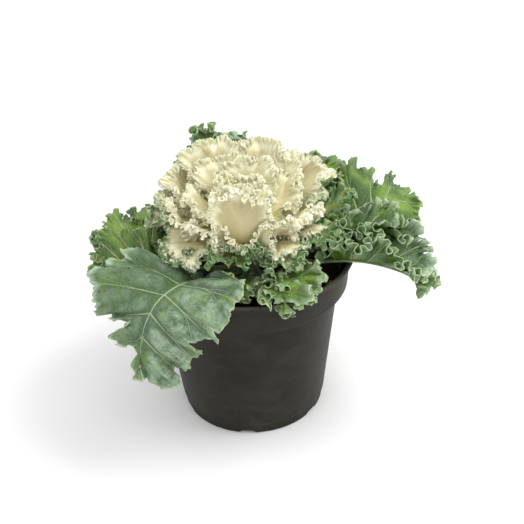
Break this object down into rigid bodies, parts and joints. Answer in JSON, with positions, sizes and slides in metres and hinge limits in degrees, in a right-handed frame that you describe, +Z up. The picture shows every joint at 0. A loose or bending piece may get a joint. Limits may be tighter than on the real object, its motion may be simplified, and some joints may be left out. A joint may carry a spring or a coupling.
{
  "type": "ornamental kale plant in a pot",
  "caption": "Potted ornamental kale: a dense cream head of frilled leaves over large waved green leaves, in a round dark nursery pot.",
  "frame": {"origin": "centre of the pot's underside, on the surface that the pot stands on", "axes": "+Z up along the pot's axis, -Y towards the front of the plant, +X to the right"},
  "size_m": [0.2082, 0.1753, 0.1652],
  "materials": {
    "pot_plastic": "matt, dark warm grey, faint scuffs and mould marks",
    "peat": "moist crumbly peat, near black",
    "stem": "pale green, slightly woody",
    "green_leaf": "waxy blue-green to mid green with pale veins and a yellow-green margin",
    "fringed_leaf": "cream to pale green with a green frilled margin",
    "cream_leaf": "cream, yellower towards the base, with a whitish frilled margin"
  },
  "bodies": {
    "root": {"pot": "pot_plastic", "soil": "peat", "stem": "stem", "heart": "cream_leaf", "fringed_leaves": "fringed_leaf", "leaf_front_left": "green_leaf", "leaf_left": "green_leaf", "leaf_left_low": "green_leaf", "leaf_left_back": "green_leaf", "leaf_back_left": "green_leaf", "leaf_back": "green_leaf", "leaf_back_right": "green_leaf", "leaf_right_back": "green_leaf", "leaf_right_upper": "green_leaf", "leaf_right": "green_leaf", "leaf_front_right": "green_leaf", "leaf_front": "green_leaf", "leaf_front_small": "green_leaf"}
  },
  "joints": []
}
